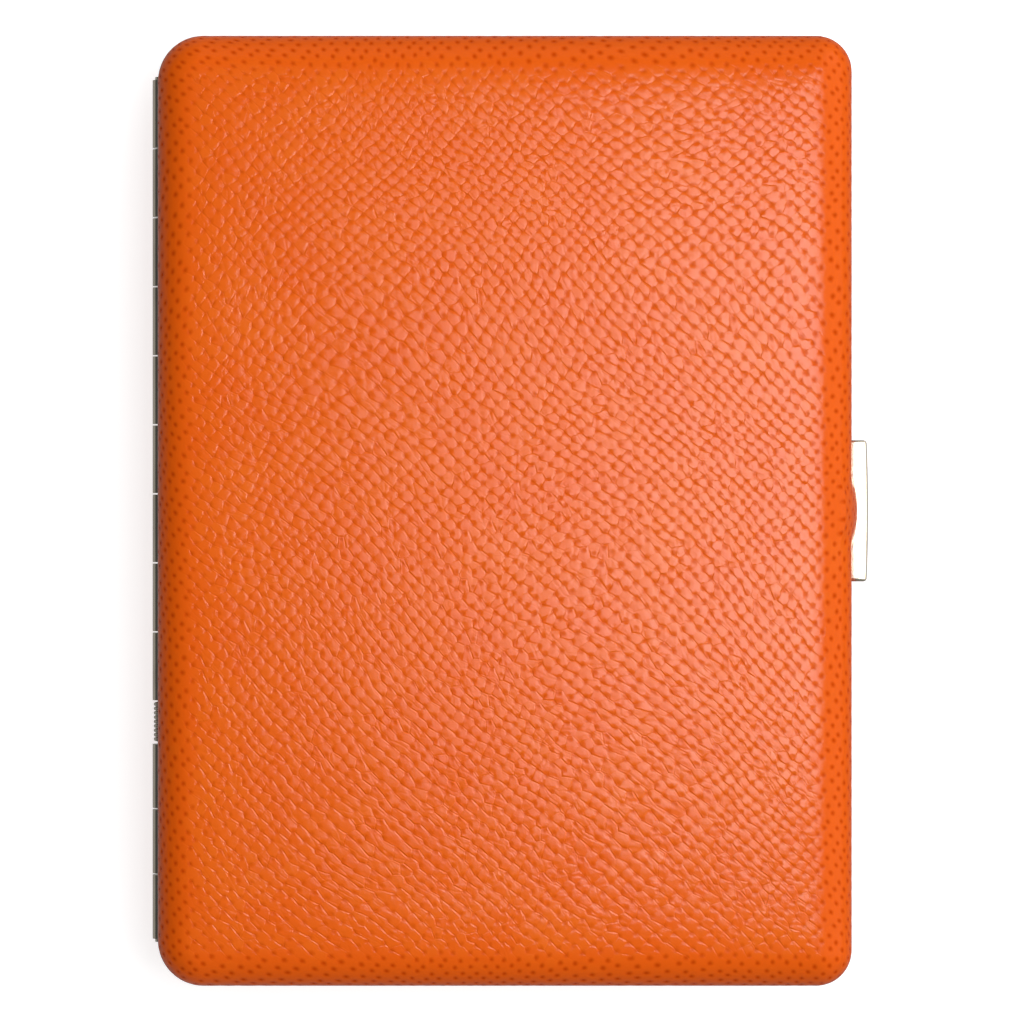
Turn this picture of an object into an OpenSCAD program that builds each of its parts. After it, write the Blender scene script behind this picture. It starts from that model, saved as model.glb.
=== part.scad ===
// Hinged cigarette case in grained leather over two pressed steel shells.
// It lies closed on its back cover: +Z is up through its thickness, +Y is the top edge and +X the
// opening side. The origin is the middle of the back cover's flat face. Millimetres throughout.

/* [Case] */
// Width of the closed case from the spine to the opening side
case_w = 69.4; // [66:0.1:76]
// Height of the closed case from the bottom edge to the top edge
case_h = 95; // [90:0.5:104]
// Thickness of each of the two halves
half_t = 10; // [9.4:0.1:12]
// Corner radius at the spine, seen from the front
spine_corner_r = 4.6; // [4:0.1:6]
// Corner radius at the opening side, seen from the front
mouth_corner_r = 3.6; // [3.6:0.1:6]
// Rounding from each face into the side walls
edge_r = 3.5; // [3:0.1:3.6]
// Gap between the two rims when the case is closed
parting_gap = 0.1; // [0.05:0.05:0.3]

/* [Covers] */
// Thickness of the leather
leather_t = 0.9; // [0.7:0.05:1.1]
// Thickness of the pressed steel shell under the leather
shell_t = 0.4; // [0.3:0.05:0.5]
// Thickness of the cloth lining
lining_t = 0.4; // [0.3:0.05:0.5]
// How far the leather swells over the foot of the catch
swell_rise = 0.8; // [0.6:0.05:1]
// Radius of the swelling's round surface
swell_r = 10.5; // [9.5:0.5:14]

/* [Rims] */
// Height of each rim's band beside the parting line
rim_h = 2.2; // [2:0.1:2.6]
// How far the band lies inside the leather's outer surface
rim_inset = 0.2; // [0.1:0.05:0.3]
// Thickness of the flange inside the shell
flange_t = 0.5; // [0.4:0.05:0.6]
// Height of the flange inside the shell
flange_h = 2.75; // [2.5:0.05:3]

/* [Hinge] */
// Distance from the case's top edge to the hinge's upper end
hinge_top_inset = 3.7; // [3.4:0.1:6]
// Distance from the case's bottom edge to the hinge's lower end
hinge_bottom_inset = 4; // [3.4:0.1:6]
// Diameter of the knuckle barrels
barrel_d = 2; // [1.9:0.05:2.2]
// Diameter of the hinge pin
hinge_pin_d = 1; // [0.9:0.05:1.1]
// Distance of the hinge axis outside the leather
hinge_out = 0.1; // [0.1:0.05:0.3]
// Number of knuckles above the spring
upper_knuckles = 9; // [7:2:11]
// Number of knuckles below the spring
lower_knuckles = 3; // [1:2:3]
// Length of the knuckles below the spring, all together
lower_run = 19.9; // [18:0.1:22]
// Length of the open bay for the spring
spring_bay = 4.3; // [4:0.1:5]
// Gap between neighbouring knuckles
knuckle_gap = 0.15; // [0.1:0.05:0.2]
// Room around a barrel in the other rim's groove
groove_clearance = 0.15; // [0.1:0.05:0.2]
// Radial play of each pin in its holes
pin_clearance = 0.03; // [0.01:0.01:0.05]

/* [Springs] */
// Wire diameter of the hinge spring
hinge_wire_d = 0.3; // [0.2:0.05:0.3]
// Turns of the hinge spring
hinge_turns = 4; // [3:1:4]
// Wire diameter of the latch spring
latch_wire_d = 0.2; // [0.16:0.02:0.24]
// Turns of the latch spring
latch_turns = 6; // [4:1:6]
// Length of the latch spring
latch_spring_l = 4.6; // [4.6:0.1:5.2]
// Wire diameter of each arm spring
arm_wire_d = 0.25; // [0.2:0.05:0.3]
// Turns of each arm spring
arm_turns = 5; // [4:1:5]

/* [Latch] */
// Length of the latch lever along the edge
latch_l = 14.3; // [13:0.1:18]
// Thickness of the lever's sheet
latch_t = 0.5; // [0.4:0.05:0.6]
// How far the lever's ends stand outside the leather
latch_out = 1.9; // [1.8:0.05:2.2]
// How far the middle of the lever bows beyond its ends
latch_bow = 0.15; // [0.1:0.05:0.3]
// Corner radius of the lever, seen from the front
latch_corner_r = 0.35; // [0.2:0.05:0.5]
// Height of the lever above the parting line
latch_rise = 1.9; // [1.8:0.05:2]
// Depth of the lever below the parting line
latch_drop = 4; // [3.6:0.1:5]
// Angle in degrees through which the lever rocks
latch_swing = 20; // [16:1:22]
// Distance of the latch pin outside the leather
latch_pin_out = 0.7; // [0.65:0.05:0.8]
// Depth of the latch pin below the parting line
latch_pin_drop = 1.3; // [1.1:0.05:1.4]
// Diameter of the latch pin
latch_pin_d = 0.6; // [0.5:0.05:0.7]
// Thickness of the brackets' sheet
bracket_t = 0.4; // [0.3:0.05:0.4]
// Thickness of the brackets' ears
ear_t = 0.5; // [0.4:0.05:0.6]
// Width of the catch tab's tongue
catch_w = 5; // [4:0.1:7]
// Width of the catch tab's foot under the leather
catch_foot_w = 3.6; // [3.2:0.1:4]
// How far the catch tab's foot runs up under the leather
catch_foot_rise = 2.6; // [2.2:0.1:2.9]
// Thickness of the catch tab's tongue
catch_t = 0.7; // [0.5:0.05:0.8]
// How far the tongue stands outside the leather
catch_out = 1; // [0.8:0.05:1]
// Gap between the tongue and the lever's lip
catch_gap = 0.15; // [0.1:0.05:0.25]

/* [Arms] */
// Length of each retaining arm from its pivot
arm_l = 56; // [48:0.5:58]
// Width of each retaining arm
arm_w = 12; // [10:0.5:16]
// Thickness of the arm's sheet
arm_t = 0.5; // [0.4:0.05:0.6]
// Distance of the arm's pivot from the leather's outer surface at the spine
arm_pivot_inset = 3.7; // [3.6:0.1:4.5]
// Depth of the arm's pivot below the parting line
arm_pivot_drop = 1.1; // [1.1:0.05:1.4]
// Diameter of the arm's pivot pin
arm_pin_d = 0.8; // [0.7:0.05:0.9]
// Outer diameter of the arm's rolled barrels
arm_barrel_d = 1.7; // [1.5:0.05:1.8]
// Open middle of the arm's root, where its spring sits
arm_notch_w = 5.2; // [5:0.1:6]
// Gap between the resting arm's tip and the lining
arm_gap = 0.3; // [0.2:0.05:0.5]
// Width of the stiffening rib pressed along the arm
arm_rib_w = 2.4; // [1.6:0.1:3]
// Height of the arm's turned-up tip above its upper face
arm_lip_h = 0.5; // [0.3:0.05:0.6]

/* [Rivets] */
// Diameter of each rivet's shank
rivet_d = 0.7; // [0.5:0.05:0.8]
// Diameter of each rivet's head
rivet_head_d = 1.4; // [1.1:0.05:1.5]
// Height of each rivet's head
rivet_head_h = 0.3; // [0.2:0.05:0.35]
// Distance of the latch bracket's rivets from the middle of the latch
latch_rivet_y = 4.4; // [4.2:0.1:4.7]
// Distance of the catch tab's rivets from the middle of the latch
catch_rivet_y = 1; // [0.9:0.05:1.2]
// Distance of an arm bracket's rivets from the middle of the arm
arm_rivet_y = 4.5; // [3:0.1:5]

/* [Hidden] */
$fn = 64;

// Distances inwards from the leather's outer surface to each layer
shell_inset = leather_t;
flange_inset = shell_inset + shell_t;
lining_inset = flange_inset + lining_t;
rim_inner_inset = flange_inset + flange_t;

// Heights in the back half, from the resting face
rim_top = half_t - parting_gap / 2;
rim_bottom = rim_top - rim_h;
flange_bottom = rim_bottom - flange_h;

// Walls of the case seen from the front
spine_x = -case_w / 2;
mouth_x = case_w / 2;
rim_face_x = mouth_x - rim_inset;
rim_inner_x = mouth_x - rim_inner_inset;

// Hinge
axis_x = spine_x - hinge_out;
hinge_top = case_h / 2 - hinge_top_inset;
hinge_bottom = -case_h / 2 + hinge_bottom_inset;
bay_bottom = hinge_bottom + lower_run;
bay_top = bay_bottom + spring_bay;
upper_pitch = (hinge_top - bay_top) / upper_knuckles;
lower_pitch = lower_run / lower_knuckles;
groove_r = barrel_d / 2 + groove_clearance;
neck_depth = groove_r + 0.25;
pin_head_h = 0.25;
pin_head_room = pin_head_h + knuckle_gap;
hinge_coil_r = barrel_d / 2 - hinge_wire_d / 2 - 0.05;
spring_end_gap = 0.1;

// Latch
latch_top = half_t + latch_rise;
latch_foot = half_t - latch_drop;
latch_pin_x = mouth_x + latch_pin_out;
latch_pin_z = half_t - latch_pin_drop;
latch_room = 0.25;
latch_back_x = mouth_x + latch_room;
latch_front_x = mouth_x + latch_out;
bow_r = (pow(latch_l / 2, 2) + pow(latch_bow, 2)) / (2 * latch_bow);
// The ends are cut back at the foot, so that the lever clears the leather when it rocks
latch_foot_back_x = latch_pin_x + ((latch_pin_z - latch_foot) * sin(latch_swing)
    - (latch_pin_out - latch_room + 0.1)) / cos(latch_swing);
latch_ear_r = latch_pin_out - 0.1;
ear_gap = 0.6;
latch_ear_y = latch_l / 2 - latch_t - ear_gap;
bracket_w = 2 * latch_ear_y + 0.4;
bracket_margin = 0.1;
latch_window_w = latch_spring_l + 0.8;
latch_coil_r = latch_pin_d / 2 + latch_wire_d / 2 + 0.08;
catch_top = latch_top - latch_t - catch_gap;
front_leather_edge = 2 * half_t - rim_bottom;
catch_foot_top = front_leather_edge + catch_foot_rise;
catch_rivet_z = front_leather_edge + catch_foot_rise / 2;
swell_z = front_leather_edge + catch_foot_rise / 2;

// Arms
arm_x = spine_x + arm_pivot_inset;
arm_z = half_t - arm_pivot_drop;
arm_rest = asin((arm_z - lining_inset - arm_t / 2 - arm_gap) / arm_l);
arm_coil_r = arm_pin_d / 2 + arm_wire_d / 2 + 0.095;
arm_spring_l = arm_notch_w - 0.6;
arm_ear_y = arm_w / 2 + 0.3;
arm_ear_r = arm_pivot_drop - 0.3;
arm_rib_start = 6;
arm_rib_end = 5;
arm_rivet_z = flange_bottom + flange_h / 2;

cover_color = "#e8702e";
metal_color = "#c9c6bf";
steel_color = "#8e9094";
lining_color = "#c9a36b";

// Outline of the case seen from the front, drawn in from the leather's outer surface
module plan(inset) {
    spine_r = spine_corner_r - inset;
    mouth_r = mouth_corner_r - inset;
    left = spine_x + inset;
    right = mouth_x - inset;
    half_h = case_h / 2 - inset;
    translate([left + spine_r, -half_h]) square([right - left - spine_r - mouth_r, 2 * half_h]);
    translate([left, -half_h + spine_r]) square([spine_r, 2 * (half_h - spine_r)]);
    translate([right - mouth_r, -half_h + mouth_r]) square([mouth_r, 2 * (half_h - mouth_r)]);
    for (side = [-1, 1]) {
        translate([left + spine_r, side * (half_h - spine_r)]) circle(r = spine_r);
        translate([right - mouth_r, side * (half_h - mouth_r)]) circle(r = mouth_r);
    }
}

// Solid section of a rounded wall: x runs inwards from the leather's surface, y is the height
module wall_section(inset, reach, top) {
    translate([inset, edge_r]) square([reach - inset, top - edge_r]);
    if (reach > edge_r) translate([edge_r, inset]) square([reach - edge_r, edge_r - inset]);
    intersection() {
        translate([edge_r, edge_r]) circle(r = edge_r - inset);
        translate([inset, inset]) square([reach - inset, edge_r - inset]);
    }
}

// Section of a thin pan's wall and floor, out to the given reach
module pan_section(inset, thickness, reach, top) {
    difference() {
        wall_section(inset, reach, top);
        wall_section(inset + thickness, reach + 1, top + 1);
    }
}

// A quarter turn of the section about a corner's axis
module pan_corner(inset, thickness, corner_r, top) {
    rotate_extrude(angle = 90) intersection() {
        translate([corner_r, 0]) mirror([1, 0]) pan_section(inset, thickness, corner_r, top);
        square([corner_r, top]);
    }
}

// A straight run of the section along +Y, with the leather's surface at x = 0
module pan_side(inset, thickness, reach, top, length) {
    translate([0, length, 0]) rotate([90, 0, 0]) linear_extrude(length)
        pan_section(inset, thickness, reach, top);
}

// One layer of a half: a pan of even thickness at a distance from the leather's surface
module pan(inset, thickness, top) {
    middle_w = case_w - spine_corner_r - mouth_corner_r;
    spine_run = case_h - 2 * spine_corner_r;
    mouth_run = case_h - 2 * mouth_corner_r;
    translate([spine_x + spine_corner_r, 0, 0]) rotate([90, 0, 90]) linear_extrude(middle_w)
        for (side = [0, 1]) mirror([side, 0]) translate([-case_h / 2, 0])
            pan_section(inset, thickness, case_h / 2 + edge_r, top);
    translate([spine_x, -spine_run / 2, 0])
        pan_side(inset, thickness, spine_corner_r, top, spine_run);
    mirror([1, 0, 0]) translate([-mouth_x, -mouth_run / 2, 0])
        pan_side(inset, thickness, mouth_corner_r, top, mouth_run);
    for (side = [0, 1]) mirror([0, side, 0]) {
        translate([mouth_x - mouth_corner_r, case_h / 2 - mouth_corner_r, 0])
            pan_corner(inset, thickness, mouth_corner_r, top);
        translate([spine_x + spine_corner_r, case_h / 2 - spine_corner_r, 0])
            rotate([0, 0, 90]) pan_corner(inset, thickness, spine_corner_r, top);
    }
}

// Turns a piece of the back half into its twin in the front half
module in_front_half() {
    translate([0, 0, 2 * half_t]) mirror([0, 0, 1]) children();
}

// A cylinder along +Y
module bar(length, radius) {
    rotate([-90, 0, 0]) cylinder(h = length, r = radius);
}

// A cylinder along +X
module peg(length, radius) {
    rotate([0, 90, 0]) cylinder(h = length, r = radius);
}

// Lower end of a knuckle, numbered from the top of the hinge
function knuckle_y(k) = k < upper_knuckles
    ? hinge_top - (k + 1) * upper_pitch
    : bay_bottom - (k - upper_knuckles + 1) * lower_pitch;
function knuckle_l(k) = k < upper_knuckles ? upper_pitch : lower_pitch;

// The knuckles that one rim carries: its barrels and the necks that join them to the band
module knuckles(first) {
    for (k = [first : 2 : upper_knuckles + lower_knuckles - 1])
        translate([axis_x, knuckle_y(k) + knuckle_gap / 2, half_t]) {
            bar(knuckle_l(k) - knuckle_gap, barrel_d / 2);
            translate([hinge_out + rim_inset, 0, -neck_depth])
                cube([neck_depth - hinge_out - rim_inset, knuckle_l(k) - knuckle_gap,
                      neck_depth - parting_gap / 2]);
        }
}

// Rim of one half: a band beside the parting line and a flange inside the shell,
// grooved for the hinge and carrying every second knuckle
module frame(first_knuckle) {
    difference() {
        union() {
            difference() {
                union() {
                    translate([0, 0, rim_bottom]) linear_extrude(rim_h) difference() {
                        plan(rim_inset);
                        plan(rim_inner_inset);
                    }
                    translate([0, 0, flange_bottom]) linear_extrude(flange_h) difference() {
                        plan(flange_inset);
                        plan(rim_inner_inset);
                    }
                }
                translate([axis_x, hinge_bottom - pin_head_room, half_t])
                    bar(hinge_top - hinge_bottom + 2 * pin_head_room, groove_r);
            }
            knuckles(first_knuckle);
        }
        translate([axis_x, hinge_bottom - 1, half_t])
            bar(hinge_top - hinge_bottom + 2, hinge_pin_d / 2 + pin_clearance);
        arm_rivet_shanks();
    }
}

// Points of a coil spring along +Y whose ends leave it straight along its axis.
// Each point is [turned length, height], with the turned length measured round the coil.
function bend_points(wire, lead) = [for (i = [0 : 3]) let (a = i * (90 - lead) / 3)
    [wire * (1 - cos(a)), wire + wire * sin(a)]];
function coil_track(wire, coil_r, turns, length) =
    let (
        rise_0 = (length - 4 * wire) / turns,
        lead = atan(rise_0 / (2 * PI * coil_r)),
        foot = concat([[0, 0]], bend_points(wire, lead)),
        last = foot[len(foot) - 1],
        steps = 8 * turns,
        run = 2 * PI * coil_r * turns,
        rise = length - 2 * last[1],
        total = run + 2 * last[0],
        helix = [for (i = [1 : steps - 1]) last + [run, rise] * i / steps]
    )
    concat(foot, helix, [for (i = [len(foot) - 1 : -1 : 0]) [total, length] - foot[i]]);
function coil_angle(point, coil_r) = point[0] / coil_r * 180 / PI;
function coil_point(point, coil_r) = let (a = coil_angle(point, coil_r))
    [coil_r * cos(a), point[1], coil_r * sin(a)];
function coil_slope(track, i) = i == 0 ? [0, 1]
    : i == len(track) - 1 ? [0, 1]
    : let (d = track[i + 1] - track[i - 1]) d / norm(d);
function ring_point(track, i, coil_r, wire, side) =
    let (
        a = coil_angle(track[i], coil_r),
        out = [cos(a), 0, sin(a)],
        slope = coil_slope(track, i),
        along = [-sin(a) * slope[0], slope[1], cos(a) * slope[0]],
        across = cross(along, out),
        turn = side * 60
    )
    coil_point(track[i], coil_r) + wire / 2 * (cos(turn) * out + sin(turn) * across);

// Least gap between the wire's turns, measured between the points of different turns
function least_gap(track, coil_r, wire) =
    let (p = [for (t = track) coil_point(t, coil_r)])
    min([for (i = [0 : len(p) - 1]) for (j = [i + 5 : 1 : len(p) - 1]) norm(p[i] - p[j])]) - wire;

// One unbroken coil spring along +Y, 8 rings a turn and 6 sides a ring
module coil(name, wire, coil_r, turns, length) {
    track = coil_track(wire, coil_r, turns, length);
    rings = len(track);
    echo(str(name, ": least gap between turns ", least_gap(track, coil_r, wire), " mm"));
    polyhedron(
        points = [for (i = [0 : rings - 1]) for (s = [0 : 5]) ring_point(track, i, coil_r, wire, s)],
        faces = concat(
            [for (i = [0 : rings - 2]) for (s = [0 : 5]) let (n = (s + 1) % 6)
                [6 * i + s, 6 * i + n, 6 * i + 6 + s]],
            [for (i = [0 : rings - 2]) for (s = [0 : 5]) let (n = (s + 1) % 6)
                [6 * i + n, 6 * i + 6 + n, 6 * i + 6 + s]],
            [for (s = [1 : 4]) [0, s + 1, s]],
            [for (s = [1 : 4]) [6 * rings - 6, 6 * rings - 6 + s, 6 * rings - 5 + s]]
        )
    );
}

// Outline of the latch lever from the front, drawn in by its sheet, open towards the case
module latch_plan(inset) {
    r = max(latch_corner_r - inset, 0.05);
    back = latch_back_x;
    front = latch_front_x - inset;
    half_l = latch_l / 2 - inset;
    intersection() {
        translate([latch_front_x + latch_bow - bow_r, 0]) circle(r = bow_r - inset, $fn = 720);
        union() {
            translate([back - inset, -half_l]) square([front - r - back + inset, 2 * half_l]);
            translate([back - inset, -half_l + r]) square([front + latch_bow - back + inset, 2 * (half_l - r)]);
            for (side = [-1, 1]) translate([front - r, side * (half_l - r)]) circle(r = r);
        }
    }
}

// Shanks of the rivets that hold an arm's bracket, through its plate and the rim's flange
module arm_rivet_shanks() {
    for (side = [-1, 1])
        translate([spine_x + flange_inset, side * arm_rivet_y, arm_rivet_z])
            peg(flange_t + bracket_t, rivet_d / 2);
}

module arm_rivets() {
    arm_rivet_shanks();
    for (side = [-1, 1])
        translate([spine_x + rim_inner_inset + bracket_t, side * arm_rivet_y, arm_rivet_z])
            peg(rivet_head_h, rivet_head_d / 2);
}

// Bracket on the rim's flange at the spine, with two ears for the arm's pin
module arm_bracket() {
    plate_x = spine_x + rim_inner_inset;
    difference() {
        union() {
            translate([plate_x, -arm_ear_y - ear_t, flange_bottom + 0.2])
                cube([bracket_t, 2 * (arm_ear_y + ear_t), arm_z + arm_ear_r - flange_bottom - 0.2]);
            for (y = [-arm_ear_y - ear_t, arm_ear_y]) {
                translate([arm_x, y, arm_z]) bar(ear_t, arm_ear_r);
                translate([plate_x, y, arm_z - arm_ear_r])
                    cube([arm_x - plate_x, ear_t, 2 * arm_ear_r]);
            }
        }
        translate([arm_x, -arm_ear_y - ear_t - 1, arm_z])
            bar(2 * (arm_ear_y + ear_t + 1), arm_pin_d / 2 + pin_clearance);
        arm_rivet_shanks();
    }
}

module arm_pin() {
    pin_l = 2 * (arm_ear_y + ear_t + 0.1);
    translate([arm_x, -pin_l / 2, arm_z]) bar(pin_l, arm_pin_d / 2);
}

module arm_spring(name) {
    translate([arm_x, -arm_spring_l / 2, arm_z])
        coil(name, arm_wire_d, arm_coil_r, arm_turns, arm_spring_l);
}

// Retaining arm: a sheet strip with a pressed rib, a turned-up round tip and two rolled barrels
module arm() {
    barrel_l = (arm_w - arm_notch_w) / 2;
    tip_r = arm_w / 2;
    notch_x = arm_barrel_d / 2 + 0.3;
    translate([arm_x, 0, arm_z]) rotate([0, arm_rest, 0]) difference() {
        union() {
            translate([0, 0, -arm_t / 2]) linear_extrude(arm_t) difference() {
                union() {
                    translate([0, -arm_w / 2]) square([arm_l - tip_r, arm_w]);
                    translate([arm_l - tip_r, 0]) circle(r = tip_r);
                }
                translate([-1, -arm_notch_w / 2]) square([notch_x + 1, arm_notch_w]);
            }
            translate([arm_l - tip_r, 0, arm_t / 2]) intersection() {
                difference() {
                    cylinder(h = arm_lip_h, r = tip_r);
                    translate([0, 0, -1]) cylinder(h = arm_lip_h + 2, r = tip_r - arm_t);
                }
                translate([tip_r * 0.45, -tip_r, 0]) cube([tip_r, 2 * tip_r, arm_lip_h]);
            }
            intersection() {
                translate([arm_rib_start, 0, arm_t / 2 - arm_rib_w])
                    peg(arm_l - arm_rib_start - arm_rib_end, sqrt(1.25) * arm_rib_w);
                translate([arm_rib_start, -arm_rib_w, 0])
                    cube([arm_l - arm_rib_start - arm_rib_end, 2 * arm_rib_w, arm_t]);
            }
            for (y = [-arm_w / 2, arm_notch_w / 2]) translate([0, y, 0]) bar(barrel_l, arm_barrel_d / 2);
        }
        translate([0, -arm_w, 0]) bar(2 * arm_w, arm_pin_d / 2 + pin_clearance);
    }
}

module back_leather() {
    color(cover_color) pan(0, leather_t, rim_bottom);
}

module back_shell() {
    color(steel_color) pan(shell_inset, shell_t, rim_bottom);
}

module back_lining() {
    color(lining_color) pan(flange_inset, lining_t, flange_bottom);
}

module back_frame() {
    color(metal_color) difference() {
        frame(0);
        latch_rivet_shanks();
    }
}

module hinge_pin() {
    color(metal_color) translate([axis_x, hinge_bottom, half_t]) {
        bar(hinge_top - hinge_bottom, hinge_pin_d / 2);
        translate([0, -pin_head_h, 0]) bar(pin_head_h, hinge_pin_d / 2 + 0.25);
        translate([0, hinge_top - hinge_bottom, 0]) bar(pin_head_h, hinge_pin_d / 2 + 0.25);
    }
}

// The coil starts on the front rim's knuckle, with a running gap, and ends on the back rim's
module hinge_spring() {
    start = bay_bottom - knuckle_gap / 2 + spring_end_gap;
    length = spring_bay + knuckle_gap - spring_end_gap;
    color(metal_color) translate([axis_x, start, half_t])
        coil("hinge spring", hinge_wire_d, hinge_coil_r, hinge_turns, length);
}

module latch_rivet_shanks() {
    for (side = [-1, 1])
        translate([rim_inner_x, side * latch_rivet_y, latch_pin_z])
            peg(rim_face_x + bracket_t - rim_inner_x, rivet_d / 2);
}

module latch_bracket_rivets() {
    color(metal_color) {
        latch_rivet_shanks();
        for (side = [-1, 1])
            translate([rim_inner_x - rivet_head_h, side * latch_rivet_y, latch_pin_z])
                peg(rivet_head_h, rivet_head_d / 2);
    }
}

// Bracket on the back rim's outer face, open in the middle for the spring
module latch_bracket() {
    plate_bottom = rim_bottom + bracket_margin;
    plate_h = rim_h - 2 * bracket_margin;
    color(metal_color) difference() {
        union() {
            difference() {
                translate([rim_face_x, -bracket_w / 2, plate_bottom]) cube([bracket_t, bracket_w, plate_h]);
                translate([rim_face_x - 1, -latch_window_w / 2, plate_bottom + 0.3])
                    cube([bracket_t + 2, latch_window_w, plate_h]);
            }
            for (y = [-latch_ear_y, latch_ear_y - ear_t]) {
                translate([latch_pin_x, y, latch_pin_z]) bar(ear_t, latch_ear_r);
                translate([rim_face_x, y, latch_pin_z - latch_ear_r])
                    cube([latch_pin_x - rim_face_x, ear_t, 2 * latch_ear_r]);
            }
        }
        translate([latch_pin_x, -latch_l, latch_pin_z]) bar(2 * latch_l, latch_pin_d / 2 + pin_clearance);
        latch_rivet_shanks();
    }
}

module latch_pin() {
    pin_l = latch_l - 0.1;
    color(metal_color) translate([latch_pin_x, -pin_l / 2, latch_pin_z]) bar(pin_l, latch_pin_d / 2);
}

module latch_spring() {
    color(metal_color) translate([latch_pin_x, -latch_spring_l / 2, latch_pin_z])
        coil("latch spring", latch_wire_d, latch_coil_r, latch_turns, latch_spring_l);
}

// Rocking lever: a bowed plate with a lip on top and turned-in ends, which the pin passes through
module latch_lever() {
    color(metal_color) difference() {
        union() {
            translate([0, 0, latch_foot]) linear_extrude(latch_top - latch_foot) difference() {
                latch_plan(0);
                latch_plan(latch_t);
            }
            translate([0, 0, latch_top - latch_t]) linear_extrude(latch_t) latch_plan(0);
        }
        translate([0, latch_l, 0]) rotate([90, 0, 0]) linear_extrude(2 * latch_l)
            polygon([
                [mouth_x - 2, latch_pin_z], [latch_back_x, latch_pin_z],
                [latch_foot_back_x, latch_foot], [latch_foot_back_x, latch_foot - 1],
                [mouth_x - 2, latch_foot - 1]
            ]);
        translate([latch_pin_x, -latch_l, latch_pin_z]) bar(2 * latch_l, latch_pin_d / 2 + pin_clearance);
    }
}

module back_arm_bracket() {
    color(metal_color) arm_bracket();
}

module back_arm_rivets() {
    color(metal_color) arm_rivets();
}

module back_arm_pin() {
    color(metal_color) arm_pin();
}

module back_arm_spring() {
    color(metal_color) arm_spring("back arm spring");
}

module back_arm() {
    color(metal_color) arm();
}

module catch_rivet_shanks() {
    for (side = [-1, 1])
        translate([rim_inner_x, side * catch_rivet_y, catch_rivet_z])
            peg(rim_face_x + bracket_t - rim_inner_x, rivet_d / 2);
}

// The catch tab's foot, which lies on the rim and runs on under the leather's swelling
module catch_foot() {
    translate([rim_face_x, -catch_foot_w / 2, catch_top - catch_t])
        cube([bracket_t, catch_foot_w, catch_foot_top - catch_top + catch_t]);
}

module front_leather() {
    color(cover_color) difference() {
        union() {
            in_front_half() pan(0, leather_t, rim_bottom);
            intersection() {
                translate([mouth_x + swell_rise - swell_r, 0, swell_z]) sphere(r = swell_r);
                translate([mouth_x - leather_t / 2, -case_h / 4, front_leather_edge])
                    cube([leather_t + swell_rise, case_h / 2, 2 * half_t - edge_r - front_leather_edge]);
            }
        }
        catch_foot();
        catch_rivet_shanks();
    }
}

module front_shell() {
    color(steel_color) difference() {
        in_front_half() pan(shell_inset, shell_t, rim_bottom);
        catch_rivet_shanks();
    }
}

module front_lining() {
    color(lining_color) in_front_half() pan(flange_inset, lining_t, flange_bottom);
}

module front_frame() {
    color(metal_color) difference() {
        in_front_half() frame(1);
        catch_rivet_shanks();
    }
}

// Tongue that the latch lever's lip holds down, with its foot under the leather
module catch_tab() {
    tip_r = catch_t / 2;
    tip_x = mouth_x + catch_out - tip_r;
    color(metal_color) difference() {
        union() {
            catch_foot();
            translate([rim_face_x, -catch_w / 2, catch_top - catch_t])
                cube([tip_x - rim_face_x, catch_w, catch_t]);
            translate([tip_x, -catch_w / 2, catch_top - tip_r]) bar(catch_w, tip_r);
        }
        catch_rivet_shanks();
    }
}

module catch_rivets() {
    color(metal_color) {
        catch_rivet_shanks();
        for (side = [-1, 1])
            translate([rim_inner_x - rivet_head_h, side * catch_rivet_y, catch_rivet_z])
                peg(rivet_head_h, rivet_head_d / 2);
    }
}

module front_arm_bracket() {
    color(metal_color) in_front_half() arm_bracket();
}

module front_arm_rivets() {
    color(metal_color) in_front_half() arm_rivets();
}

module front_arm_pin() {
    color(metal_color) in_front_half() arm_pin();
}

module front_arm_spring() {
    color(metal_color) in_front_half() arm_spring("front arm spring");
}

module front_arm() {
    color(metal_color) in_front_half() arm();
}

back_leather();
back_shell();
back_lining();
back_frame();
hinge_pin();
hinge_spring();
latch_bracket();
latch_bracket_rivets();
latch_pin();
latch_spring();
latch_lever();
back_arm_bracket();
back_arm_rivets();
back_arm_pin();
back_arm_spring();
back_arm();
front_leather();
front_shell();
front_lining();
front_frame();
catch_tab();
catch_rivets();
front_arm_bracket();
front_arm_rivets();
front_arm_pin();
front_arm_spring();
front_arm();
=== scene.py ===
"""Dresses the hinged cigarette case in embossed leather, nickel plate and cloth."""

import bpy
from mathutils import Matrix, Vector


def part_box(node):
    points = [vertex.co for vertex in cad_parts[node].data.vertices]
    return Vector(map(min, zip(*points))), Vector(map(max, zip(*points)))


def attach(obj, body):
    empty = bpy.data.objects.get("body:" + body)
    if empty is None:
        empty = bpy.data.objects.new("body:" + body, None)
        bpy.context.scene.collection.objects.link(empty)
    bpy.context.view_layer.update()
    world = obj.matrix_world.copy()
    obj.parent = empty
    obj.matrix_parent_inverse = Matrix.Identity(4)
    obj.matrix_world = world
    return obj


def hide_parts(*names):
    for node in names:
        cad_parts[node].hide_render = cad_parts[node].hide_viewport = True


bl_info = {
    "name": "Leather Cigarette Case",
    "version": (1, 0, 0),
    "blender": (4, 5, 0),
    "location": "View3D > Sidebar > Case",
    "description": "Dresses the hinged cigarette case in embossed leather, nickel plate and cloth",
    "category": "Object",
}

import math

import bmesh
import bpy
from bpy.props import FloatProperty, FloatVectorProperty, IntProperty, PointerProperty, StringProperty
from mathutils import Matrix, Vector

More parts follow.
